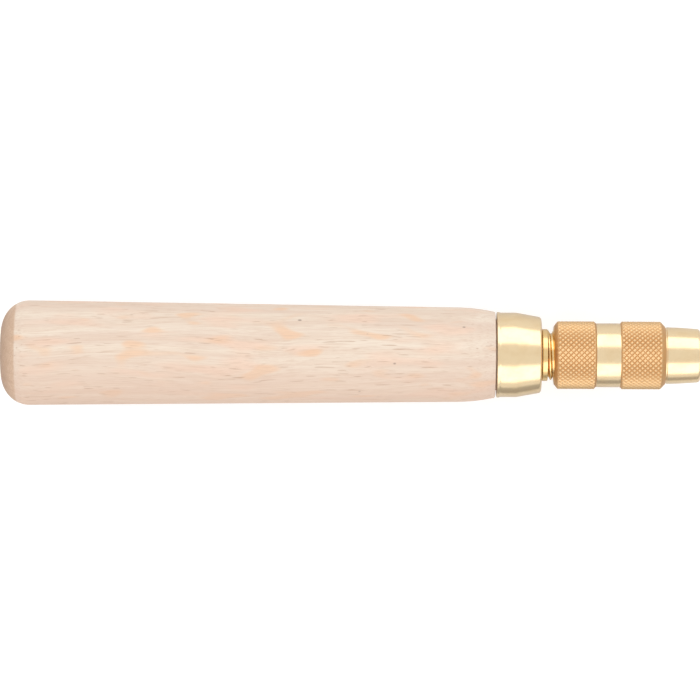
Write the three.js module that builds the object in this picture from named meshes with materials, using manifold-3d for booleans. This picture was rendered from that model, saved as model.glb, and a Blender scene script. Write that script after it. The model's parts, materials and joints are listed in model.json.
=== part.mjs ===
// A leatherworker's swivel knife without its blade: a turned beech grip with a brass ferrule, a
// spindle that swivels in the grip on two bushes and a thrust ball, and a four-jaw chuck on the
// spindle that a knurled brass nut opens and closes.
//
// Millimetres. The tool lies along X, butt at -X and chuck at +X, on a table at Z = 0.
// Places along the tool are measured from the butt, and a profile is a list of [along, radius].

import * as THREE from "three";
import { mergeVertices } from "three/addons/utils/BufferGeometryUtils.js";
import Module from "manifold-3d";

const wasm = await Module();
wasm.setup();

// ---------------------------------------------------------------- driving dimensions

// Grip
const gripLength = 99; // wood that shows, from the butt to its front edge
const buttRadius = 10.45;
const buttCrown = 0.3; // rise of the slightly domed end face
const buttFillet = 6;
const gripFrontRadius = 9.45; // at the end of the straight taper
const shoulderLength = 8; // the rounded run from there down to the ferrule
const shoulderProud = 0.12; // the wood's front edge stands this far above the ferrule
const boreDepth = 70; // of the bearing bore behind the wood's front edge
const tenonLength = 6.2;

// Ferrule
const ferruleLength = 8.9;
const ferruleRadius = 8.45;
const ferruleStraight = 3.9;
const ferruleTaper = 0.85; // from the straight run down to the front edge
const ferruleWall = 0.5; // at its thinnest, round the front edge
const ferruleFrontWall = 1.6;
const ferruleEdge = 0.3;

// Swivel bearing
const shaftRadius = 2.95;
const shaftSocketDepth = 6.5; // how far the shaft goes into the chuck body
const bushWall = 0.8;
const rearBushLength = 8;
const frontBushReach = 9.2; // behind its flange
const flangeThickness = 1.2;
const flangeStep = 1.0;
const sleeveWall = 0.65;
const padThickness = 1;
const ballRadius = 1.5;
const clipThickness = 0.6;
const clipBite = 0.45; // depth of the clip's groove in the shaft
const clipRise = 0.65; // how far the clip stands out of the shaft
const clipWasherThickness = 0.4;

// Chuck body and its thread, M10 x 1.25
const collarThickness = 1.1;
const collarStep = 0.2;
const threadRadius = 5;
const threadPitch = 1.25;
const threadDepth = 0.65;
const threadCrestWidth = 0.2;
const threadRootWidth = 0.9;
const threadLength = 9.6;
const threadOverlap = 0.15; // a helical ridge goes this far into its core, to join it cleanly
const exposedThread = 1.2; // between the collar and the nut, with the chuck as it rests
const socketWall = 0.7; // round the mouth of the tapered socket
const socketAngle = 10; // degrees between the socket's wall and the axis
const shaftWeb = 1.6; // metal between the shaft and the shank passage

// Jaws
const shankRadius = 1.5; // of the blade shank that the jaws are bored for
const jawSlot = 0.7; // between one jaw and the next
const jawWall = 0.75; // at the thin rear end
const jawHead = 2.3;
const jawNeck = 0.9;
const jawNeckDepth = 0.65;
const jawLead = 2.2; // jaw that shows between the neck and the chuck body
const jawRecess = 1.7; // of the jaws' front behind the nut's front face
const jawBevel = 0.3; // round the mouth of the shank bore
const jawChamfer = 0.6; // round the outside of the front face
const jawRingThickness = 0.5;
const springWire = 0.22; // radius of the wire of the jaw spring
const springSweep = 300; // degrees of ring in the spring

// Nut
const nutRearBand = 8.3;
const nutWaist = 5.1;
const nutFrontBand = 8;
const nutFrontBevel = 0.85;
const noseLength = 7.05;
const waistDepth = 0.38;
const bandEdge = 0.3;
const nutRearBevel = 0.7;
const nutRearStep = 1;
const knurlStep = 1.1; // from the nose up to the knurled bands
const noseWall = 1.2;
const noseTaper = 0.3;
const noseRound = 0.7;
const nutThread = 6.4; // length of thread cut in the nut
const mouthBite = 0.5; // how far the nut's front lip covers the jaws

// Clearances
const fit = 0.05; // between pieces that are pressed, screwed or slid together
const run = 0.08; // round a turning journal
const side = 0.2; // beside a part that turns or slides
const gap = 0.3; // between faces that meet
const threadSideClearance = 0.1;
const threadTopClearance = 0.12;

// Facets round a turned piece, and along one turn of thread
const sides = 36;
const smallSides = 24;
const threadSides = 18;

// ---------------------------------------------------------------- worked-out sizes

const degree = Math.PI / 180;
const flat = Math.cos(Math.PI / sides); // the middle of a facet lies this share of the radius out
const socketSlope = Math.tan(socketAngle * degree);

// How far the nut travels from rest, and how far that moves each jaw
const closingTravel = exposedThread - gap;
const openingTravel = threadPitch;
const jawOpening = openingTravel * socketSlope;

// Places along the tool
const ferruleRear = gripLength + gap;
const ferruleFront = ferruleRear + ferruleLength;
const ferruleInner = ferruleFront - ferruleFrontWall;
const tenonEnd = gripLength + tenonLength;
const boreEnd = gripLength - boreDepth;
const collarRear = ferruleFront + side;
const threadStart = collarRear + collarThickness;
const threadEnd = threadStart + threadLength;
const nutRear = threadStart + exposedThread;
const waistRear = nutRear + nutRearBand;
const waistFront = waistRear + nutWaist;
const frontBandEnd = waistFront + nutFrontBand;
const noseRear = frontBandEnd + nutFrontBevel;
const nutFront = noseRear + noseLength;
const jawFront = nutFront - jawRecess;
const headRear = jawFront - jawHead;
const neckRear = headRear - jawNeck;
const bodyFront = neckRear - jawLead;
const flangeFront = ferruleInner - fit;
const flangeRear = flangeFront - flangeThickness;
const bushRear = flangeRear - frontBushReach;
const shaftFront = collarRear + shaftSocketDepth - fit;
const passageRear = collarRear + shaftSocketDepth + shaftWeb;
const padRear = boreEnd + gap;
const padFront = padRear + padThickness;
const ballCentre = padFront + gap + ballRadius;
const shaftRear = ballCentre + ballRadius / 2;
const rearBushRear = shaftRear + 2 * side;

// Radii
const bushBore = shaftRadius + run;
const bushRadius = bushBore + bushWall;
const ferruleHole = bushRadius + fit;
const sleeveBore = bushRadius + fit;
const sleeveRadius = sleeveBore + sleeveWall;
const gripBore = sleeveRadius + fit;
const ferruleFrontRadius = ferruleRadius - ferruleTaper;
const ferruleBore = ferruleFrontRadius - ferruleWall;
const tenonRadius = ferruleBore - fit;
const flangeRadius = bushRadius + flangeStep;
const threadRoot = threadRadius - threadDepth;
const bodyRadius = threadRoot - threadTopClearance;
const socketMouth = bodyRadius - socketWall;
const jawRear = shankRadius + jawWall;
const jawRadius = socketMouth - side;
const neckRadius = jawRadius - jawNeckDepth;
const nutMinor = threadRoot + threadTopClearance;
const nutMajor = threadRadius + threadTopClearance;
const nutBore = nutMinor;
const jawBore = jawRadius + jawOpening + side;
const ringGroove = jawBore + jawRingThickness;
const ringBore = neckRadius + jawOpening + run;
const noseRadius = nutBore + noseWall;
const knurlRadius = noseRadius + knurlStep;
const waistRadius = knurlRadius - waistDepth;
const passageRadius = shankRadius + 2 * side;
const springRadius = shankRadius + springWire + run;

// The rear ends of the jaws' cone and of the tapered socket that they slide in
const coneRear = bodyFront - (jawRadius - jawRear) / socketSlope;
const socketRear = coneRear - closingTravel - gap;
const socketRearRadius = socketMouth - (bodyFront - socketRear) * socketSlope;

// ---------------------------------------------------------------- tools

// Points on an arc of a profile, from one angle to another in degrees: 0 points to +X, 90 outwards.
function arc(along, radius, size, from, to, steps) {
  return Array.from({ length: steps + 1 }, (_, i) => {
    const angle = (from + ((to - from) * i) / steps) * degree;
    return [along + size * Math.cos(angle), radius + size * Math.sin(angle)];
  });
}

// A profile turned about the tool's axis. It runs forwards outside and comes back inside.
function turned(profile, facets = sides) {
  const points = profile.map(([along, radius]) => new THREE.Vector2(radius, along));
  return new THREE.LatheGeometry(points, facets, Math.PI / facets).rotateZ(-Math.PI / 2);
}

function tube(rear, front, inner, outer, facets = sides) {
  const corners = [[rear, inner], [rear, outer], [front, outer], [front, inner]];
  return turned([...corners, corners[0]], facets);
}

function rod(rear, front, radius, facets = sides) {
  return turned([[rear, 0], [rear, radius], [front, radius], [front, 0]], facets);
}

// A closed geometry as a solid that can be cut and joined.
function solid(geometry) {
  const bare = new THREE.BufferGeometry();
  const source = geometry.index ? geometry.toNonIndexed() : geometry;
  bare.setAttribute("position", source.getAttribute("position").clone());
  const merged = mergeVertices(bare, 1e-4);
  const triangles = [];
  for (let i = 0; i < merged.index.count; i += 3) {
    const [a, b, c] = merged.index.array.slice(i, i + 3);
    if (a !== b && b !== c && c !== a) triangles.push(a, b, c);
  }
  const vertProperties = merged.getAttribute("position").array;
  return new wasm.Manifold(
    new wasm.Mesh({ numProp: 3, vertProperties, triVerts: new Uint32Array(triangles) }),
  );
}

function geometryOf(shape) {
  const { vertProperties, triVerts } = shape.getMesh();
  const geometry = new THREE.BufferGeometry();
  geometry.setAttribute("position", new THREE.BufferAttribute(vertProperties, 3));
  geometry.setIndex(new THREE.BufferAttribute(triVerts, 1));
  geometry.computeVertexNormals();
  return geometry;
}

// A helical ridge: a trapezoid extruded straight, one unit to a turn, then wound round the axis.
function ridge(rear, front, root, crest, widening) {
  const rootHalf = threadRootWidth / 2 + widening;
  const crestHalf = threadCrestWidth / 2 + widening;
  const section = new THREE.Shape([
    new THREE.Vector2(-rootHalf, root),
    new THREE.Vector2(rootHalf, root),
    new THREE.Vector2(crestHalf, crest),
    new THREE.Vector2(-crestHalf, crest),
  ]);
  const steps = Math.ceil(((front - rear) / threadPitch) * threadSides);
  const options = { depth: steps / threadSides, steps, bevelEnabled: false };
  const geometry = new THREE.ExtrudeGeometry(section, options);
  const position = geometry.getAttribute("position");
  for (let i = 0; i < position.count; i++) {
    const centre = rear + position.getZ(i) * threadPitch;
    const angle = (2 * Math.PI * (centre - threadStart)) / threadPitch;
    const radius = position.getY(i);
    const along = centre + position.getX(i);
    position.setXYZ(i, along, radius * Math.cos(angle), radius * Math.sin(angle));
  }
  return solid(geometry);
}

const beech = new THREE.MeshStandardMaterial({ color: 0xecd7c4, roughness: 0.62, metalness: 0 });
const brass = new THREE.MeshStandardMaterial({ color: 0xe3c58c, roughness: 0.22, metalness: 1 });
const bronze = new THREE.MeshStandardMaterial({ color: 0xb58c56, roughness: 0.4, metalness: 1 });
const steel = new THREE.MeshStandardMaterial({ color: 0xb9bbbd, roughness: 0.3, metalness: 1 });

const tool = new THREE.Group();

function add(name, geometry, material, parent) {
  const mesh = new THREE.Mesh(geometry, material);
  mesh.name = name;
  parent.add(mesh);
  return mesh;
}

// ---------------------------------------------------------------- grip, fixed

function makeGrip() {
  const faceRadius = buttRadius - buttFillet;
  const crownSize = (faceRadius ** 2 + buttCrown ** 2) / (2 * buttCrown);
  const crownAngle = Math.asin(faceRadius / crownSize) / degree;
  const taperEnd = gripLength - shoulderLength;
  const shoulderDrop = gripFrontRadius - (ferruleRadius + shoulderProud);
  const shoulderSize = (shoulderLength ** 2 + shoulderDrop ** 2) / (2 * shoulderDrop);
  const shoulderAngle = Math.asin(shoulderLength / shoulderSize) / degree;
  return turned([
    ...arc(crownSize, 0, crownSize, 180, 180 - crownAngle, 2),
    ...arc(buttCrown + buttFillet, faceRadius, buttFillet, 180, 90, 8).slice(1),
    ...arc(taperEnd, gripFrontRadius - shoulderSize, shoulderSize, 90, 90 - shoulderAngle, 4),
    [gripLength, tenonRadius],
    [tenonEnd, tenonRadius],
    [tenonEnd, gripBore],
    [boreEnd, gripBore],
    [boreEnd, 0],
  ]);
}

function makeFerrule() {
  return turned([
    [ferruleRear, ferruleBore],
    [ferruleRear, ferruleRadius],
    [ferruleRear + ferruleStraight, ferruleRadius],
    [ferruleFront - ferruleEdge, ferruleFrontRadius],
    [ferruleFront, ferruleFrontRadius - ferruleEdge],
    [ferruleFront, ferruleHole],
    [ferruleInner, ferruleHole],
    [ferruleInner, ferruleBore],
    [ferruleRear, ferruleBore],
  ]);
}

// Its flange is trapped between the tenon and the ferrule, and its front end carries the collar.
function makeFrontBush() {
  const front = ferruleFront + side / 2;
  return turned(
    [
      [bushRear, bushBore],
      [bushRear, bushRadius],
      [flangeRear, bushRadius],
      [flangeRear, flangeRadius],
      [flangeFront, flangeRadius],
      [flangeFront, bushRadius],
      [front, bushRadius],
      [front, bushBore],
      [bushRear, bushBore],
    ],
    smallSides,
  );
}

// ---------------------------------------------------------------- spindle, which swivels

const clipFront = bushRear - side - clipWasherThickness - side;
const clipRear = clipFront - clipThickness;

function makeShaft() {
  const dimple = ballRadius + side / 2;
  const grooveRadius = shaftRadius - clipBite;
  return turned(
    [
      [shaftRear + dimple, 0],
      [shaftRear, dimple],
      [shaftRear, shaftRadius - gap],
      [shaftRear + gap, shaftRadius],
      [clipRear - fit, shaftRadius],
      [clipRear - fit, grooveRadius],
      [clipFront + fit, grooveRadius],
      [clipFront + fit, shaftRadius],
      [shaftFront, shaftRadius],
      [shaftFront, 0],
    ],
    smallSides,
  );
}

// A ring with a slit on one side, which lets it spring over its seat.
function splitRing(rear, front, inner, outer, slit) {
  const length = front - rear;
  const cutter = new THREE.BoxGeometry(2 * length, slit, 2 * outer);
  cutter.translate((rear + front) / 2, 0, outer);
  return geometryOf(solid(tube(rear, front, inner, outer, smallSides)).subtract(solid(cutter)));
}

function makeChuckBody() {
  const outside = [
    [collarRear, 0],
    [collarRear, threadRadius + collarStep],
    [threadStart, threadRadius + collarStep],
    [threadStart, threadRoot],
    [threadEnd, threadRoot],
    [threadEnd, bodyRadius],
    [bodyFront, bodyRadius],
    [bodyFront, 0],
  ];
  const shaftHole = rod(collarRear - gap, shaftFront + fit, shaftRadius + fit, smallSides);
  const bladeHole = turned([
    [passageRear, 0],
    [passageRear, passageRadius],
    [socketRear, passageRadius],
    [socketRear, socketRearRadius],
    [bodyFront + gap, socketMouth + gap * socketSlope],
    [bodyFront + gap, 0],
  ]);
  const inner = threadRoot - threadOverlap;
  const thread = ridge(threadStart - threadPitch, threadEnd + threadPitch, inner, threadRadius, 0);
  const insideCollar = threadStart - collarThickness / 2;
  const threadBlank = [
    [insideCollar, 0],
    [insideCollar, threadRadius + side],
    [threadEnd - threadDepth, threadRadius + side],
    [threadEnd, threadRoot],
    [threadEnd, 0],
  ];
  return geometryOf(
    solid(turned(outside, threadSides))
      .add(thread.intersect(solid(turned(threadBlank, threadSides))))
      .subtract(solid(shaftHole))
      .subtract(solid(bladeHole)),
  );
}

// ---------------------------------------------------------------- jaws

// The place of the jaw ring, in the middle of the jaws' neck.
const ringMiddle = (neckRear + headRear) / 2;
const ringRear = ringMiddle - jawRingThickness / 2;
const ringFront = ringMiddle + jawRingThickness / 2;
const springMiddle = (headRear + jawFront) / 2;

// One quarter of a turned collet. Its middle points halfway between +Y and +Z before it is turned.
function makeJaw() {
  const springGroove = springRadius + springWire + side;
  const grooveHalf = springWire + run;
  const collet = turned([
    [coneRear, shankRadius],
    [coneRear, jawRear],
    [bodyFront, jawRadius],
    [neckRear, jawRadius],
    [neckRear, neckRadius],
    [headRear, neckRadius],
    [headRear, jawRadius],
    [jawFront - jawChamfer, jawRadius],
    [jawFront, jawRadius - jawChamfer],
    [jawFront, shankRadius + jawBevel],
    [jawFront - jawBevel, shankRadius],
    [springMiddle + grooveHalf, shankRadius],
    [springMiddle + grooveHalf, springGroove],
    [springMiddle - grooveHalf, springGroove],
    [springMiddle - grooveHalf, shankRadius],
    [coneRear, shankRadius],
  ]);
  const length = jawFront - coneRear;
  const quarter = new THREE.BoxGeometry(2 * length, jawRadius, jawRadius);
  const offset = jawRadius / 2 + jawSlot / 2;
  quarter.translate((coneRear + jawFront) / 2, offset, offset);
  return geometryOf(solid(collet).intersect(solid(quarter)));
}

// An open wire ring that lies in the jaws' inner groove and pushes them apart.
function makeJawSpring() {
  const start = ((360 - springSweep) / 2) * degree;
  const arcPath = new THREE.Curve();
  arcPath.getPoint = (t, target = new THREE.Vector3()) => {
    const angle = start + t * springSweep * degree;
    return target.set(
      springMiddle,
      springRadius * Math.cos(angle),
      springRadius * Math.sin(angle),
    );
  };
  const wire = new THREE.Shape().absarc(0, 0, springWire, 0, 2 * Math.PI);
  const options = { extrudePath: arcPath, steps: 30, curveSegments: 4, bevelEnabled: false };
  return new THREE.ExtrudeGeometry(wire, options);
}

// ---------------------------------------------------------------- nut

function makeNut() {
  const threadFront = nutRear + nutThread;
  const reliefFront = threadEnd + closingTravel + gap;
  const boreFront = bodyFront + closingTravel + gap;
  const mouth = jawRadius - mouthBite;
  const lip = jawFront + gap;
  const groove = [ringRear - side / 2, ringFront + side / 2];
  const noseFrontRadius = noseRadius - noseTaper;
  const blank = turned([
    [nutRear, jawBore],
    [nutRear, knurlRadius - nutRearStep],
    [nutRear + nutRearBevel, knurlRadius],
    [waistRear, knurlRadius],
    [waistRear + bandEdge, waistRadius],
    [waistFront - bandEdge, waistRadius],
    [waistFront, knurlRadius],
    [frontBandEnd, knurlRadius],
    [noseRear, noseRadius],
    ...arc(nutFront - noseRound, noseFrontRadius - noseRound, noseRound, 90, 0, 3),
    [nutFront, mouth],
    [lip, mouth],
    [lip, jawBore],
    [groove[1], jawBore],
    [groove[1], ringGroove],
    [groove[0], ringGroove],
    [groove[0], jawBore],
    [nutRear, jawBore],
  ]);
  const relief = nutMajor + run;
  const inner = nutMinor - threadOverlap;
  const tapEnd = threadFront + threadPitch / 2;
  const tap = ridge(nutRear - threadPitch, tapEnd, inner, nutMajor, threadSideClearance);
  const drilled = [
    [nutRear - gap, 0],
    [nutRear - gap, relief + gap],
    [nutRear + relief - nutBore, nutBore],
    [threadFront, nutBore],
    [threadFront, relief],
    [reliefFront, relief],
    [reliefFront, nutBore],
    [boreFront, nutBore],
    [boreFront, 0],
  ];
  const bore = solid(turned(drilled, threadSides));
  return geometryOf(solid(blank).subtract(bore).subtract(tap));
}

// ---------------------------------------------------------------- assembly

const bearingTube = (rear, length) => tube(rear, rear + length, bushBore, bushRadius, smallSides);
const clipBore = shaftRadius - clipBite + fit;
const clipRadius = shaftRadius + clipRise;
const sleeveEnds = [boreEnd + side, tenonEnd - side];

// The widest piece rests a flat on the table.
const widest = Math.max(buttRadius, gripFrontRadius, ferruleRadius, knurlRadius);
tool.position.set(-nutFront / 2, 0, widest * flat);

const grip = new THREE.Group();
add("grip", makeGrip(), beech, grip);
add("ferrule", makeFerrule(), brass, grip);
add("bearing_sleeve", tube(...sleeveEnds, sleeveBore, sleeveRadius), brass, grip);
add("front_bush", makeFrontBush(), bronze, grip);
add("rear_bush", bearingTube(rearBushRear, rearBushLength), bronze, grip);
add("thrust_pad", rod(padRear, padFront, sleeveBore - side, smallSides), steel, grip);

const spindle = new THREE.Group();
add("swivel_shaft", makeShaft(), steel, spindle);
add("thrust_ball", new THREE.SphereGeometry(ballRadius, 16, 12), steel, spindle);
spindle.getObjectByName("thrust_ball").position.x = ballCentre;
add("retaining_clip", splitRing(clipRear, clipFront, clipBore, clipRadius, shaftRadius), steel, spindle);
add("clip_washer", bearingTube(clipFront + side, clipWasherThickness), steel, spindle);
add("chuck_body", makeChuckBody(), brass, spindle);

const chuck = new THREE.Group();
add("jaw_ring", splitRing(ringRear, ringFront, ringBore, ringGroove - run, jawSlot), steel, chuck);
for (let i = 0; i < 4; i++) {
  add(`jaw_${i + 1}`, makeJaw(), steel, chuck).rotation.x = (i * Math.PI) / 2;
}
add("jaw_spring", makeJawSpring(), steel, chuck);
add("chuck_nut", makeNut(), brass, chuck);

tool.add(grip, spindle, chuck);

export default tool;
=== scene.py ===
"""A swivel knife's turned beech grip, brass ferrule and knurled chuck, lying on a white table.

Along the tool and across it, sizes are in millimetres, measured from the butt and from the axis.
The places come from the frame, and place() turns them into the frame's metres.
"""

import json
import math

import bpy
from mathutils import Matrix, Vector


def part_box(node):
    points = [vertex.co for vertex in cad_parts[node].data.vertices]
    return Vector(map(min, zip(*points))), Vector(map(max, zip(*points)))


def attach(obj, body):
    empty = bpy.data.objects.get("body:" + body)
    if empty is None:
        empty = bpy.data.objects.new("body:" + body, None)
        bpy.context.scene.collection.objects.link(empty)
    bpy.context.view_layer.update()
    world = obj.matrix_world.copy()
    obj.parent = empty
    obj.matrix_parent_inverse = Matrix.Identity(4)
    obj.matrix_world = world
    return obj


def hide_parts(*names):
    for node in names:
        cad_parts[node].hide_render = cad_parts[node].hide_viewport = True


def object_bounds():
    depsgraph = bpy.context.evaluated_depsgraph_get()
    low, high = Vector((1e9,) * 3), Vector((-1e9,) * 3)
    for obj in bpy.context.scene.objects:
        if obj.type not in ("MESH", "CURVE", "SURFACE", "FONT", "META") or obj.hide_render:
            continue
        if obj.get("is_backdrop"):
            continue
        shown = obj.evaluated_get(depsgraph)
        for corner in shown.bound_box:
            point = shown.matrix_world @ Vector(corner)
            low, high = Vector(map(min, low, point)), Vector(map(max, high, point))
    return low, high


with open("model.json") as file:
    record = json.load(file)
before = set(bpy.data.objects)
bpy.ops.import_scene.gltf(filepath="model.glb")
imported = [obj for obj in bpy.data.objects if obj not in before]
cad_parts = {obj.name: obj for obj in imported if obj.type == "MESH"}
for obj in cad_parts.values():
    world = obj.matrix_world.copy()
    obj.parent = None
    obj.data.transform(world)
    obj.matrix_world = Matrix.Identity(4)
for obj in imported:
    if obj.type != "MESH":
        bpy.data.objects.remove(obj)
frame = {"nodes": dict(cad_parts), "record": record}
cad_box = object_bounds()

MM = 0.001


# ---------------------------------------------------------------- sizes from the frame


def span(node):
    """Where a CAD node starts and ends along the tool."""
    low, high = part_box(node)
    return (low[0] - BUTT_X) / MM, (high[0] - BUTT_X) / MM


def half_width(node):
    low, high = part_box(node)
    return (high[1] - low[1]) / 2 / MM


BUTT_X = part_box("grip")[0][0]
AXIS_Z = sum(corner[2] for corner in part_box("swivel_shaft")) / 2
SIDES = 36  # facets round a turned CAD piece
SMALL_SIDES = 24  # and round the small ones
ROUND = 1 / math.cos(math.pi / SIDES)  # from half the width over a piece's flats to its radius
SMALL_ROUND = 1 / math.cos(math.pi / SMALL_SIDES)

BUTT, TENON_END = span("grip")
FERRULE_REAR, FERRULE_FRONT = span("ferrule")
SLEEVE_REAR, SLEEVE_FRONT = span("bearing_sleeve")
COLLAR_REAR, BODY_FRONT = span("chuck_body")
SHAFT_FRONT = span("swivel_shaft")[1]
NUT_REAR, NUT_FRONT = span("chuck_nut")
JAW_REAR, JAW_FRONT = span("jaw_1")
RING_REAR, RING_FRONT = span("jaw_ring")

BUTT_RADIUS = half_width("grip") * ROUND
FERRULE_RADIUS = half_width("ferrule") * ROUND
COLLAR_RADIUS = half_width("chuck_body")
NUT_RADIUS = half_width("chuck_nut") * ROUND
SLEEVE_RADIUS = half_width("bearing_sleeve") * ROUND
BUSH_RADIUS = half_width("rear_bush") * SMALL_ROUND
SHAFT_RADIUS = half_width("swivel_shaft") * SMALL_ROUND
RING_RADIUS = half_width("jaw_ring") * SMALL_ROUND

# Grip
GRIP_FRONT = FERRULE_REAR - 0.3
BUTT_CROWN = 0.3
BUTT_ROUND_ALONG = 5.6
BUTT_ROUND_ACROSS = 6
GRIP_FRONT_RADIUS = BUTT_RADIUS - 1
SHOULDER_LENGTH = 8
GRIP_EDGE_RADIUS = FERRULE_RADIUS + 0.12
BORE_REAR = SLEEVE_REAR - 0.2
BORE_RADIUS = SLEEVE_RADIUS + 0.05

# Ferrule
BEAD_LENGTH = 0.45
BEAD_RISE = 0.12
FERRULE_STRAIGHT = 3.9
FERRULE_TAPER = 0.85
FERRULE_WALL = 0.5
FERRULE_BORE = FERRULE_RADIUS - FERRULE_TAPER - FERRULE_WALL
FERRULE_END_WALL = 1.6
FERRULE_HOLE = BUSH_RADIUS + 0.05

# Chuck body and its thread
COLLAR_LENGTH = 1.1
THREAD_START = COLLAR_REAR + COLLAR_LENGTH
THREAD_PITCH = 1.25
THREAD_END = THREAD_START + 9.6
THREAD_RADIUS = COLLAR_RADIUS - 0.2
THREAD_DEPTH = 0.65
THREAD_CREST = 0.1  # half the width of the thread's crest
THREAD_FOOT = 0.45  # half its width at the root
THREAD_ROOT = THREAD_RADIUS - THREAD_DEPTH
BODY_RADIUS = THREAD_ROOT - 0.12
SOCKET_MOUTH = BODY_RADIUS - 0.7
JAW_RADIUS = SOCKET_MOUTH - 0.2  # of the four jaws together

# Knurl: two crossing sets of V grooves, on a grid of columns round the nut and rows along it
KNURLS = 40
KNURL_STEPS = 6  # grid steps from one groove to the next
GROOVE_STEPS = 2  # half the width of a groove
KNURL_DEPTH = 0.2
NUT_COLUMNS = KNURLS * KNURL_STEPS


# ---------------------------------------------------------------- meshes


def place(along, radius, angle):
    """A point of a turned piece in the frame. Angles start at +Y and turn towards +Z."""
    across = radius * MM
    return (BUTT_X + along * MM, across * math.cos(angle), AXIS_Z + across * math.sin(angle))


class Ring:
    """A ring of points round a turned piece. Its radius is a number or a function of the column."""

    def __init__(self, along, radius, leans=None, material=0):
        self.along = along
        self.radius = radius
        self.leans = leans  # says which way the quads ahead of this ring are cut in two
        self.material = material

    def on_axis(self):
        return not callable(self.radius) and self.radius < 1e-6

    def points(self, columns):
        for column in range(columns):
            radius = self.radius(column) if callable(self.radius) else self.radius
            yield place(self.along, radius, 2 * math.pi * column / columns)


def mesh_object(name, vertices, faces, materials, indices=None, sharp=30):
    mesh = bpy.data.meshes.new(name)
    mesh.from_pydata(vertices, [], faces)
    for material in materials:
        mesh.materials.append(material)
    if indices:
        mesh.polygons.foreach_set("material_index", indices)
    mesh.shade_smooth()
    mesh.set_sharp_from_angle(angle=math.radians(sharp))
    mesh.update()
    piece = bpy.data.objects.new(name, mesh)
    bpy.context.scene.collection.objects.link(piece)
    return piece


def turned(name, profile, materials, columns=128):
    """A solid turned about the tool's axis. The profile runs forwards outside and back inside,
    and starts and ends on the axis or at the same point."""
    rings = [ring if isinstance(ring, Ring) else Ring(*ring) for ring in profile]
    closed = not rings[0].on_axis()
    if closed:
        rings.pop()
    vertices, rows = [], []
    for ring in rings:
        first = len(vertices)
        if ring.on_axis():
            vertices.append(place(ring.along, 0, 0))
            rows.append([first] * columns)
        else:
            vertices.extend(ring.points(columns))
            rows.append(list(range(first, first + columns)))
    faces, indices = [], []
    for i in range(len(rows) if closed else len(rows) - 1):
        near, far, ring = rows[i], rows[(i + 1) % len(rows)], rings[i]
        for column in range(columns):
            after = (column + 1) % columns
            quad = [near[column], near[after], far[after], far[column]]
            if ring.leans is None:
                cut = [list(dict.fromkeys(quad))]
            elif ring.leans(column):
                cut = [quad[:3], [quad[2], quad[3], quad[0]]]
            else:
                cut = [[quad[0], quad[1], quad[3]], quad[1:]]
            faces.extend(cut)
            indices.extend([ring.material] * len(cut))
    return mesh_object(name, vertices, faces, materials, indices)


def arc(along, radius, size_along, size_across, start, end, steps):
    """Points on an ellipse's arc, with angles in degrees: 0 points to +X and 90 outwards."""
    angles = [math.radians(start + (end - start) * i / steps) for i in range(steps + 1)]
    return [(along + size_along * math.cos(a), radius + size_across * math.sin(a)) for a in angles]


def eased(points, size, steps=4):
    """A profile with each of its corners rounded off, apart from its two ends."""
    smooth = [points[0]]
    for before, corner, after in zip(points, points[1:], points[2:]):
        middle = Vector(corner)
        arms = [Vector(before) - middle, Vector(after) - middle]
        if arms[0].angle(arms[1]) > math.radians(172):
            smooth.append(corner)
            continue
        reach = min(size, arms[0].length * 0.45, arms[1].length * 0.45)
        ends = [middle + arm.normalized() * reach for arm in arms]
        for i in range(steps + 1):
            t = i / steps
            point = ends[0] * (1 - t) ** 2 + middle * 2 * t * (1 - t) + ends[1] * t**2
            smooth.append(tuple(point))
    smooth.append(points[-1])
    return smooth


def belongs(piece, body, slot, *nodes):
    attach(piece, body)
    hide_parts(*nodes)
    return piece


# ---------------------------------------------------------------- material nodes


def srgb(red, green, blue):
    """A colour given as 0 to 255, as the linear colour that a shader takes."""
    levels = [value / 255 for value in (red, green, blue)]
    return (*[v / 12.92 if v <= 0.04045 else ((v + 0.055) / 1.055) ** 2.4 for v in levels], 1)


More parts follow.
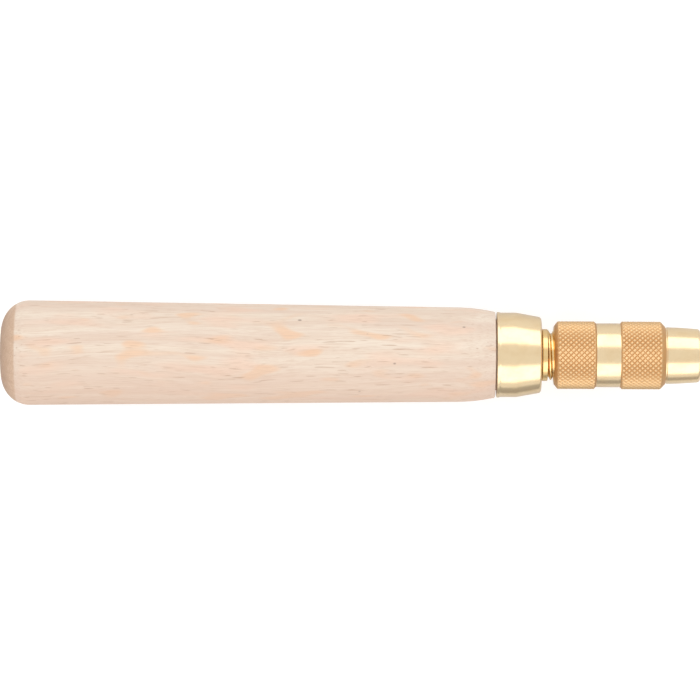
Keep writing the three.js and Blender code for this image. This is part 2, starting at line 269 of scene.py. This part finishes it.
class Shader:
    """A material under construction, with short ways to add the nodes that are used most."""

    def __init__(self, name):
        self.material = bpy.data.materials.new(name)
        self.material.use_nodes = True
        self.tree = self.material.node_tree
        self.surface = self.tree.nodes["Principled BSDF"]

    def add(self, kind, inputs, **settings):
        made = self.tree.nodes.new("ShaderNode" + kind)
        for key, value in settings.items():
            setattr(made, key, value)
        for key, value in inputs.items():
            self.feed(made.inputs[key], value)
        return made

    def feed(self, socket, value):
        if isinstance(value, bpy.types.NodeSocket):
            self.tree.links.new(value, socket)
        else:
            socket.default_value = value

    def set(self, **inputs):
        for key, value in inputs.items():
            self.feed(self.surface.inputs[key.replace("_", " ")], value)

    def math(self, operation, *values, clamp=False):
        inputs = dict(enumerate(values))
        return self.add("Math", inputs, operation=operation, use_clamp=clamp).outputs[0]

    def vector(self, operation, *values):
        inputs = dict(enumerate(values))
        return self.add("VectorMath", inputs, operation=operation).outputs[0]

    def place(self):
        """The point on the piece in millimetres, along the tool from its butt and from its axis."""
        here = self.add("TexCoord", {}).outputs["Object"]
        from_butt = self.vector("SUBTRACT", here, (BUTT_X, 0, AXIS_Z))
        return self.vector("MULTIPLY", from_butt, (1 / MM, 1 / MM, 1 / MM))

    def split(self, vector):
        return self.add("SeparateXYZ", {"Vector": vector}).outputs

    def noise(self, place, size, detail=2, roughness=0.5):
        """Noise from about 0 to 1, whose lumps are as big as size says along X, Y and Z."""
        scaled = self.vector("DIVIDE", place, size)
        inputs = {"Vector": scaled, "Scale": 1, "Detail": detail, "Roughness": roughness}
        return self.add("TexNoise", inputs).outputs["Fac"]

    def ramp(self, value, low, high, start=0, end=1):
        inputs = {"Value": value, "From Min": low, "From Max": high, "To Min": start, "To Max": end}
        settings = {"interpolation_type": "SMOOTHSTEP"}
        return self.add("MapRange", inputs, **settings).outputs["Result"]

    def mix(self, factor, a, b, blend_type="MIX"):
        made = self.add("Mix", {}, data_type="RGBA", blend_type=blend_type)
        for socket, value in ((made.inputs[0], factor), (made.inputs[6], a), (made.inputs[7], b)):
            self.feed(socket, value)
        return made.outputs[2]

    def bump(self, height, distance, strength=1):
        inputs = {"Height": height, "Distance": distance * MM, "Strength": strength}
        return self.add("Bump", inputs).outputs["Normal"]


# ---------------------------------------------------------------- materials


def beech():
    """Pale steamed beech: faint growth rings, short dark flecks along the grain, a darker end."""
    s = Shader("beech")
    here = s.place()
    drift = s.add("TexNoise", {"Vector": s.vector("DIVIDE", here, (38, 14, 14)), "Scale": 1, "Detail": 1})
    sway = s.vector("SUBTRACT", drift.outputs["Color"], (0.5, 0.5, 0.5))
    grain = s.vector("ADD", here, s.vector("MULTIPLY", sway, (0, 5, 5)))

    # Growth rings round a pith that lies outside the grip
    _, y, z = s.split(s.vector("SUBTRACT", grain, (0, 52, 34)))
    distance = s.math("SQRT", s.math("ADD", s.math("MULTIPLY", y, y), s.math("MULTIPLY", z, z)))
    year = s.math("FRACT", s.math("DIVIDE", distance, 2.3))
    ring = s.math("MULTIPLY", s.ramp(year, 0.2, 0.9), s.ramp(year, 0.9, 1.0, 1, 0))

    fibres = s.noise(grain, (7, 0.22, 0.22), detail=3, roughness=0.6)
    hairs = s.noise(grain, (2.2, 0.09, 0.09), detail=1)
    bands = s.noise(grain, (45, 2.2, 2.2), detail=2)
    patches = s.noise(grain, (13, 3.2, 3.2), detail=1)
    blotches = s.ramp(s.noise(s.vector("ADD", grain, (31, 7, 3)), (6.5, 2.4, 2.4), detail=0), 0.6, 0.78)

    colour = s.mix(s.ramp(bands, 0.35, 0.68), srgb(228, 213, 196), srgb(220, 200, 183))
    colour = s.mix(s.math("MULTIPLY", ring, 0.3), colour, srgb(213, 187, 166))
    colour = s.mix(s.ramp(patches, 0.5, 0.72, 0, 0.6), colour, srgb(231, 198, 176))
    colour = s.mix(s.math("MULTIPLY", blotches, 0.6), colour, srgb(230, 186, 148))
    # Painted shade: the colour darkens across the grip towards its -Y side
    side = s.split(here)[1]
    colour = s.mix(s.ramp(side, 1, -10, 0, 0.65), colour, srgb(214, 184, 164))
    colour = s.mix(s.ramp(fibres, 0.42, 0.75, 0, 0.46), colour, srgb(204, 174, 152))
    colour = s.mix(s.ramp(hairs, 0.5, 0.85, 0, 0.24), colour, srgb(194, 161, 138))

    # Short dark flecks, thicker in some years' growth than in others, and a few pin knots
    flecks = s.ramp(s.noise(grain, (4.6, 0.3, 0.3), detail=1, roughness=0.4), 0.655, 0.73)
    crowd = s.ramp(s.noise(grain, (22, 3, 3), detail=1), 0.36, 0.6, 0.25, 1)
    fleck = s.math("MULTIPLY", flecks, crowd)
    colour = s.mix(s.math("MULTIPLY", fleck, 0.6), colour, srgb(178, 142, 116))
    cells = s.vector("DIVIDE", here, (9, 5.5, 5.5))
    knots = s.add("TexVoronoi", {"Vector": cells, "Scale": 1}, feature="F1").outputs["Distance"]
    colour = s.mix(s.ramp(knots, 0.03, 0.055, 0.6, 0), colour, srgb(120, 98, 88))

    # End grain on the butt: rings as arcs, fine rays from the pith, pores, and a darker colour
    along = s.split(here)[0]
    ragged = s.math("ADD", along, s.math("MULTIPLY", s.noise(here, (1.6, 1.1, 1.1)), 0.3))
    end = s.ramp(ragged, 3.3, 3.75, 1, 0)
    deep = s.ramp(along, 3.2, 0.2)
    bearing = s.math("ARCTAN2", z, y)
    spokes = s.add("CombineXYZ", {"X": s.math("MULTIPLY", bearing, 520), "Y": s.math("DIVIDE", distance, 2)})
    rays = s.noise(spokes.outputs[0], (1, 1, 1), detail=1)
    pores = s.noise(here, (2, 0.14, 0.14), detail=1)
    cut = s.mix(deep, srgb(203, 172, 146), srgb(176, 144, 119))
    cut = s.mix(s.math("MULTIPLY", ring, 0.14), cut, srgb(158, 124, 101))
    cut = s.mix(s.ramp(rays, 0.5, 0.72, 0, 0.4), cut, srgb(222, 193, 170))
    cut = s.mix(s.ramp(pores, 0.5, 0.8, 0, 0.5), cut, srgb(142, 110, 90))
    colour = s.mix(s.math("MULTIPLY", end, 0.92), colour, cut)

    relief = s.math("SUBTRACT", s.math("MULTIPLY", fibres, 0.5), fleck)
    relief = s.math("SUBTRACT", relief, s.math("MULTIPLY", s.math("MULTIPLY", pores, end), 0.8))
    rough = s.ramp(fibres, 0.3, 0.7, 0.5, 0.66)
    s.set(Base_Color=colour, Roughness=rough, Normal=s.bump(relief, 0.03, 0.6), IOR=1.42)
    return s.material


def brass(name, colour, tarnish, roughness):
    """Turned brass: fine tool marks round the piece, faint clouding and a little tarnish."""
    s = Shader(name)
    here = s.place()
    along = s.split(here)[0]
    line = s.add("CombineXYZ", {"X": along}).outputs[0]
    marks = s.noise(line, (0.07, 1, 1), detail=3, roughness=0.7)
    waves = s.noise(line, (0.9, 1, 1), detail=1)
    clouds = s.noise(here, (3.5, 2.5, 2.5), detail=3, roughness=0.6)
    base = s.mix(s.ramp(clouds, 0.35, 0.75, 0, 0.35), colour, tarnish)
    base = s.mix(s.ramp(marks, 0.45, 0.8, 0, 0.22), base, tarnish)
    rough = s.math("ADD", roughness, s.ramp(clouds, 0.3, 0.8, -0.02, 0.05))
    rough = s.math("ADD", rough, s.ramp(waves, 0.3, 0.7, -0.015, 0.02))
    s.set(Base_Color=base, Metallic=1, Roughness=rough, Normal=s.bump(marks, 0.0016, 0.5))
    return s.material


def knurled_brass():
    """Rolled diamonds: bright on their tops, and redder and duller down in the grooves."""
    s = Shader("knurled_brass")
    here = s.place()
    _, y, z = s.split(here)
    radius = s.math("SQRT", s.math("ADD", s.math("MULTIPLY", y, y), s.math("MULTIPLY", z, z)))
    depth = s.ramp(radius, NUT_RADIUS - 0.02, NUT_RADIUS - KNURL_DEPTH)
    clouds = s.noise(here, (1.6, 1.6, 1.6), detail=3, roughness=0.6)
    top = s.mix(s.ramp(clouds, 0.3, 0.75, 0, 0.5), srgb(236, 201, 154), srgb(228, 189, 139))
    base = s.mix(s.math("MULTIPLY", depth, 0.7), top, srgb(204, 156, 104))
    grit = s.noise(here, (0.06, 0.06, 0.06), detail=1)
    rough = s.ramp(depth, 0, 1, 0.36, 0.46)
    s.set(Base_Color=base, Metallic=1, Roughness=rough, Normal=s.bump(grit, 0.004, 0.4))
    return s.material


def metal(name, light, dark, roughness):
    """Plain machined metal for the jaws, the bushes and the pieces inside."""
    s = Shader(name)
    here = s.place()
    brushed = s.noise(here, (0.08, 0.5, 0.5), detail=3, roughness=0.65)
    clouds = s.noise(here, (2.5, 1.5, 1.5), detail=2)
    base = s.mix(s.ramp(clouds, 0.3, 0.75), light, dark)
    base = s.mix(s.ramp(brushed, 0.45, 0.8, 0, 0.3), base, dark)
    rough = s.ramp(brushed, 0.3, 0.7, roughness - 0.05, roughness + 0.08)
    s.set(Base_Color=base, Metallic=1, Roughness=rough, Normal=s.bump(brushed, 0.002, 0.5))
    return s.material


BEECH = beech()
BRASS = brass("turned_brass", srgb(250, 225, 183), srgb(234, 199, 148), 0.2)
THREAD_BRASS = brass("threaded_brass", srgb(249, 217, 157), srgb(216, 166, 100), 0.22)
KNURLED = knurled_brass()
STEEL = metal("turned_steel", srgb(205, 207, 208), srgb(150, 152, 155), 0.28)
BRONZE = metal("bush_bronze", srgb(214, 168, 112), srgb(150, 108, 66), 0.42)


# ---------------------------------------------------------------- grip and ferrule


def make_grip():
    face = BUTT_RADIUS - BUTT_ROUND_ACROSS
    crown = (face**2 + BUTT_CROWN**2) / (2 * BUTT_CROWN)
    crown_angle = math.degrees(math.asin(face / crown))
    taper_end = GRIP_FRONT - SHOULDER_LENGTH
    drop = GRIP_FRONT_RADIUS - GRIP_EDGE_RADIUS
    shoulder = (SHOULDER_LENGTH**2 + drop**2) / (2 * drop)
    shoulder_angle = math.degrees(math.asin(SHOULDER_LENGTH / shoulder))
    tenon = FERRULE_BORE - 0.05
    round_along = BUTT_CROWN + BUTT_ROUND_ALONG
    butt = arc(crown, 0, crown, crown, 180, 180 - crown_angle, 6)
    butt += arc(round_along, face, BUTT_ROUND_ALONG, BUTT_ROUND_ACROSS, 180, 90, 28)[1:]
    centre = GRIP_FRONT_RADIUS - shoulder
    front = arc(taper_end, centre, shoulder, shoulder, 90, 90 - shoulder_angle, 14)
    edge = eased([front[-2], front[-1], (GRIP_FRONT, tenon), (TENON_END, tenon)], 0.25)
    inside = [(TENON_END, BORE_RADIUS), (BORE_REAR, BORE_RADIUS), (BORE_REAR, 0)]
    grip = turned("turned_grip", butt + front[:-2] + edge + inside, [BEECH], columns=180)
    return belongs(grip, "grip", "beech", "grip")


def make_ferrule():
    bead = FERRULE_REAR + BEAD_LENGTH
    bead_slope = 0.3
    inner = FERRULE_FRONT - FERRULE_END_WALL
    front_radius = FERRULE_RADIUS - FERRULE_TAPER
    chamfer_along = 0.3
    chamfer_across = 0.4
    outline = [
        (FERRULE_REAR, FERRULE_BORE),
        (FERRULE_REAR, FERRULE_RADIUS + BEAD_RISE),
        (bead, FERRULE_RADIUS + BEAD_RISE),
        (bead + bead_slope, FERRULE_RADIUS),
        (FERRULE_REAR + FERRULE_STRAIGHT, FERRULE_RADIUS),
        (FERRULE_FRONT - chamfer_along, front_radius),
        (FERRULE_FRONT, front_radius - chamfer_across),
        (FERRULE_FRONT, FERRULE_HOLE),
        (inner, FERRULE_HOLE),
        (inner, FERRULE_BORE),
        (FERRULE_REAR, FERRULE_BORE),
    ]
    ferrule = turned("turned_ferrule", eased(outline, 0.14), [BRASS], columns=180)
    return belongs(ferrule, "grip", "brass", "ferrule")


# ---------------------------------------------------------------- chuck body


def thread_height(along, turn, widening=0):
    """How far a point is up the thread's ridge, from 0 at its root to 1 on its crest."""
    turns = (along - THREAD_START) / THREAD_PITCH - turn
    distance = abs(turns - round(turns)) * THREAD_PITCH - widening
    return min(max((THREAD_FOOT - distance) / (THREAD_FOOT - THREAD_CREST), 0), 1)


def make_chuck_body():
    columns = 48
    rows = round((THREAD_END - THREAD_START) / THREAD_PITCH * columns)

    def threaded(along):
        lead_out = (THREAD_END - along) / THREAD_DEPTH

        def radius(column):
            height = min(thread_height(along, column / columns), max(lead_out, 0))
            return THREAD_ROOT + THREAD_DEPTH * height

        return radius

    stations = [THREAD_START + row * THREAD_PITCH / columns for row in range(1, rows)]
    thread = [Ring(along, threaded(along), leans=lambda column: True) for along in stations]
    hole = SHAFT_RADIUS + 0.05
    web = SHAFT_FRONT + 0.05
    collar = eased(
        [
            (web, hole),
            (COLLAR_REAR, hole),
            (COLLAR_REAR, COLLAR_RADIUS),
            (THREAD_START - 0.02, COLLAR_RADIUS),
            (THREAD_START - 0.02, THREAD_ROOT),
        ],
        0.16,
    )
    socket_slope = math.tan(math.radians(10))
    socket_length = BODY_FRONT - JAW_REAR + 1.2
    socket_rear = BODY_FRONT - socket_length
    passage = 1.9
    web_front = web + 1.6
    front = [
        (THREAD_END, THREAD_ROOT),
        (THREAD_END, BODY_RADIUS),
        (BODY_FRONT, BODY_RADIUS),
        (BODY_FRONT, SOCKET_MOUTH),
        (socket_rear, SOCKET_MOUTH - socket_length * socket_slope),
        (socket_rear, passage),
        (web_front, passage),
        (web_front, 0),
    ]
    profile = [(web, 0)] + collar + thread + eased(front, 0.1)
    body = turned("threaded_body", profile, [THREAD_BRASS], columns)
    return belongs(body, "spindle", "brass", "chuck_body")


# ---------------------------------------------------------------- nut


def groove(steps):
    """Depth of a V groove that repeats, at a place counted in grid steps across it."""
    half = KNURL_STEPS / 2
    distance = abs((steps + half) % KNURL_STEPS - half)
    return max(0, 1 - distance / GROOVE_STEPS)


def knurled_band(start, end, envelope):
    """Rings of a knurled band. Its grooves run out where the envelope dips below them."""
    step = 2 * math.pi * NUT_RADIUS / NUT_COLUMNS
    rows = round((end - start) / step)

    def ring(row):
        along = start + (end - start) * row / rows
        limit = envelope(along)

        def radius(column):
            depth = max(groove(column + row), groove(column - row))
            return min(limit, NUT_RADIUS - KNURL_DEPTH * depth)

        def leans(column):
            return groove(column - row) > groove(column + row + 1)

        return Ring(along, radius, leans, material=1)

    return [ring(row) for row in range(rows + 1)]


def chamfers(start, end, rear, front):
    """The envelope of a band: how far its surface may stand, between a chamfer at each end.
    A chamfer is its length along the nut and its depth across."""

    def envelope(along):
        rear_dip = rear[1] * max(0, 1 - (along - start) / rear[0])
        front_dip = front[1] * max(0, 1 - (end - along) / front[0])
        return NUT_RADIUS - max(rear_dip, front_dip)

    return envelope


def make_nut():
    waist_rear = NUT_REAR + 8.3
    waist_front = waist_rear + 5.1
    band_end = waist_front + 8
    nose_rear = band_end + 0.85
    waist = NUT_RADIUS - 0.38
    nose = NUT_RADIUS - 1.1
    nose_front = nose - 0.3
    minor = THREAD_ROOT + 0.12
    major = THREAD_RADIUS + 0.12
    relief = major + 0.08
    mouth = NUT_FRONT - 1.4
    mouth_radius = 2.83
    mouth_edge = 3.1
    jaw_bore = RING_RADIUS - 0.42
    ring_groove = RING_RADIUS + 0.08
    thread_front = NUT_REAR + 6.4
    thread_length = 6
    rows_to_turn = 20

    rear_end = waist_rear + 0.12
    front_start = waist_front - 0.12
    by_waist = (0.38, 0.4)
    rear_envelope = chamfers(NUT_REAR, rear_end, (0.8, 1.0), by_waist)
    front_envelope = chamfers(front_start, nose_rear, by_waist, (0.95, 1.0))
    rear_band = knurled_band(NUT_REAR + 0.05, rear_end, rear_envelope)
    front_band = knurled_band(front_start, nose_rear, front_envelope)
    middle = eased(
        [
            (waist_rear + 0.14, waist + 0.03),
            (waist_rear + 0.3, waist - 0.04),
            (waist_rear + 0.5, waist),
            (waist_front - 0.5, waist),
            (waist_front - 0.3, waist - 0.04),
            (waist_front - 0.14, waist + 0.03),
        ],
        0.08,
    )
    tip = eased(
        [
            (nose_rear + 0.05, nose - 0.12),
            (nose_rear + 0.22, nose - 0.12),
            (nose_rear + 0.35, nose),
            (nose_rear + 3, nose - 0.08),
            (NUT_FRONT - 0.75, nose_front),
        ],
        0.1,
    )
    tip += arc(NUT_FRONT - 0.7, nose_front - 0.7, 0.7, 0.7, 84, 0, 8)
    opening = [
        (NUT_FRONT, nose_front - 1.2),
        (NUT_FRONT, mouth_edge),
        (NUT_FRONT - 0.3, mouth_radius),
        (mouth, mouth_radius),
        (mouth, jaw_bore),
        (RING_FRONT + 0.1, jaw_bore),
        (RING_FRONT + 0.1, ring_groove),
        (RING_REAR - 0.1, ring_groove),
        (RING_REAR - 0.1, jaw_bore),
        (BODY_FRONT + 1.2, jaw_bore),
        (BODY_FRONT + 1.2, minor),
        (THREAD_END + 1.2, minor),
        (THREAD_END + 1.2, relief),
        (thread_front, relief),
    ]

    def tapped(along):
        def radius(column):
            height = thread_height(along, column / NUT_COLUMNS, widening=0.1)
            return minor + (major - minor) * height

        return Ring(along, radius)

    rows = round(thread_length / THREAD_PITCH * rows_to_turn)
    stations = [thread_front - 0.02 - THREAD_PITCH * row / rows_to_turn for row in range(rows)]
    thread = [tapped(along) for along in stations]
    rear = [(NUT_REAR + 0.3, relief), (NUT_REAR, relief + 0.25), (NUT_REAR, NUT_RADIUS - 1.05)]
    profile = rear[1:] + rear_band + middle + front_band + tip + eased(opening, 0.06, 2)[1:] + thread
    profile += rear[:2]
    nut = turned("knurled_nut", profile, [BRASS, KNURLED], NUT_COLUMNS)
    return belongs(nut, "nut", "brass", "chuck_nut")


# ---------------------------------------------------------------- jaws


def make_jaw(number):
    """One quarter of a turned and slit collet, as a loop of its profile swept round the axis."""
    shank = 1.5
    half_slot = 0.35
    rear_wall = 0.75
    neck = JAW_RADIUS - 0.65
    neck_length = 0.9
    head_length = 2.3
    chamfer = 0.6
    bevel = 0.3
    spring_groove = 2.22
    half_groove = 0.3
    head_rear = JAW_FRONT - head_length
    neck_rear = head_rear - neck_length
    spring = (head_rear + JAW_FRONT) / 2
    loop = eased(
        [
            (JAW_REAR, shank),
            (JAW_REAR, shank + rear_wall),
            (BODY_FRONT, JAW_RADIUS),
            (neck_rear, JAW_RADIUS),
            (neck_rear, neck),
            (head_rear, neck),
            (head_rear, JAW_RADIUS),
            (JAW_FRONT - chamfer, JAW_RADIUS),
            (JAW_FRONT, JAW_RADIUS - chamfer),
            (JAW_FRONT, shank + bevel),
            (JAW_FRONT - bevel, shank),
            (spring + half_groove, shank),
            (spring + half_groove, spring_groove),
            (spring - half_groove, spring_groove),
            (spring - half_groove, shank),
            (JAW_REAR, shank),
        ],
        0.06,
        3,
    )[:-1]
    steps = 20
    turn = (number - 1) * math.pi / 2
    vertices = []
    for step in range(steps + 1):
        for along, radius in loop:
            inset = math.asin(half_slot / radius)
            angle = inset + (math.pi / 2 - 2 * inset) * step / steps
            vertices.append(place(along, radius, turn + angle))
    size = len(loop)
    faces = []
    for step in range(steps):
        for i in range(size):
            j = (i + 1) % size
            near, far = step * size, (step + 1) * size
            faces.append([near + i, far + i, far + j, near + j])
    faces.append(list(range(size)))
    faces.append(list(range(steps * size, (steps + 1) * size))[::-1])
    jaw = mesh_object(f"collet_jaw_{number}", vertices, faces, [STEEL])
    return belongs(jaw, f"jaw_{number}", "steel", f"jaw_{number}")


# ---------------------------------------------------------------- pieces that keep their CAD shape


def finish_cad_nodes():
    finishes = {"brass": BRASS, "steel": STEEL, "bronze": BRONZE, "beech": BEECH}
    slots = {row["node"]: row["material_slot"] for row in frame["record"]["subparts"]}
    for name, node in frame["nodes"].items():
        node.data.materials.clear()
        node.data.materials.append(finishes[slots[name]])


# ---------------------------------------------------------------- studio


SOFTBOX_LEVEL = 0.98
ROOM_LEVEL = 0.84
TABLE_GLOW = 0.5  # what the table adds for the camera, so that it is seen as white
MIRRORED_GLOW = 0.08  # what it adds in reflections


def on_table(corners, above=0):
    """Corners on the level table, which is just clear of the butt's underside."""
    clearance = 0.02
    table = AXIS_Z - (BUTT_RADIUS + clearance) * MM
    return [(x, y, table + above) for x, y in corners]


def make_floor():
    """A white table top."""
    size = 1.6
    corners = [(-size, -size), (size, -size), (size, size), (-size, size)]
    s = Shader("white_table")
    rays = s.add("LightPath", {}).outputs
    paper = s.noise(s.place(), (3, 3, 3), detail=2)
    white = s.mix(s.ramp(paper, 0.3, 0.7), (0.61, 0.61, 0.61, 1), (0.63, 0.63, 0.63, 1))
    glow = s.math("ADD", s.math("MULTIPLY", rays["Is Camera Ray"], TABLE_GLOW), rays["Is Transmission Ray"])
    glow = s.math("ADD", glow, s.math("MULTIPLY", rays["Is Glossy Ray"], MIRRORED_GLOW))
    s.set(Base_Color=white, Roughness=0.9, Emission_Color=(1, 1, 1, 1), Emission_Strength=glow)
    s.surface.inputs["Specular IOR Level"].default_value = 0.1
    floor = mesh_object("table_top", on_table(corners), [(0, 1, 2, 3)], [s.material])
    floor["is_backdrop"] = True


def make_softbox(name, side):
    """A long softbox beside the tool. The turned brass shows it as a bright band."""
    light = bpy.data.lights.new(name, "AREA")
    light.shape = "RECTANGLE"
    light.size = 1.5
    light.size_y = 0.56
    light.energy = SOFTBOX_LEVEL * math.pi * light.size * light.size_y
    lamp = bpy.data.objects.new(name, light)
    lean = math.radians(56)
    distance = 0.62
    lamp.location = (0, side * distance * math.sin(lean), AXIS_Z + distance * math.cos(lean))
    lamp.rotation_euler = (-side * lean, 0, 0)
    lamp.visible_camera = False
    bpy.context.scene.collection.objects.link(lamp)


def make_card():
    """A grey card on the table beside the tool, seen only in reflections: a dark line on the brass."""
    near, far = 0.024, 0.08
    half_length = 0.4
    corners = [(-half_length, -far), (half_length, -far), (half_length, -near), (-half_length, -near)]
    s = Shader("grey_card")
    fine = s.noise(s.place(), (2, 2, 2), detail=2)
    s.set(Base_Color=s.mix(fine, (0.3, 0.3, 0.3, 1), (0.34, 0.34, 0.34, 1)), Roughness=0.95)
    card = mesh_object("grey_card", on_table(corners, above=0.0005), [(0, 1, 2, 3)], [s.material])
    card.visible_camera = False
    card.visible_diffuse = False
    card.visible_shadow = False
    card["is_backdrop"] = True


def make_room():
    """The room's light: even and a little dim, and white to the camera."""
    world = bpy.data.worlds.new("studio")
    world.use_nodes = True
    nodes, links = world.node_tree.nodes, world.node_tree.links
    background = nodes["Background"]
    background.inputs["Color"].default_value = (1, 1, 1, 1)
    rays = nodes.new("ShaderNodeLightPath")
    level = nodes.new("ShaderNodeMapRange")
    level.inputs["To Min"].default_value = ROOM_LEVEL
    level.inputs["To Max"].default_value = 1
    links.new(rays.outputs["Is Camera Ray"], level.inputs["Value"])
    links.new(level.outputs["Result"], background.inputs["Strength"])
    bpy.context.scene.world = world


def make_camera():
    """Straight above the tool, a metre up, and turned a hair off the tool's line."""
    width = (NUT_FRONT - BUTT) * MM
    height = 1.0
    aside = 0.00082
    turn = math.radians(0.27)
    data = bpy.data.cameras.new("camera")
    data.sensor_width = 36
    data.lens = data.sensor_width * height / width
    data.clip_end = 10
    camera = bpy.data.objects.new("camera", data)
    camera.location = (BUTT_X + width / 2, aside, AXIS_Z + height)
    camera.rotation_euler = (0, 0, turn)
    bpy.context.scene.collection.objects.link(camera)
    bpy.context.scene.camera = camera


bpy.context.scene.view_settings.view_transform = "Standard"
make_camera()
make_room()
make_softbox("softbox_left", 1)
make_softbox("softbox_right", -1)
make_floor()
make_card()

finish_cad_nodes()
make_grip()
make_ferrule()
make_chuck_body()
make_nut()
for jaw_number in range(1, 5):
    make_jaw(jaw_number)

boxes = {"cad": cad_box, "visual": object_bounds()}
{key: [list(corner) for corner in box] for key, box in boxes.items()}
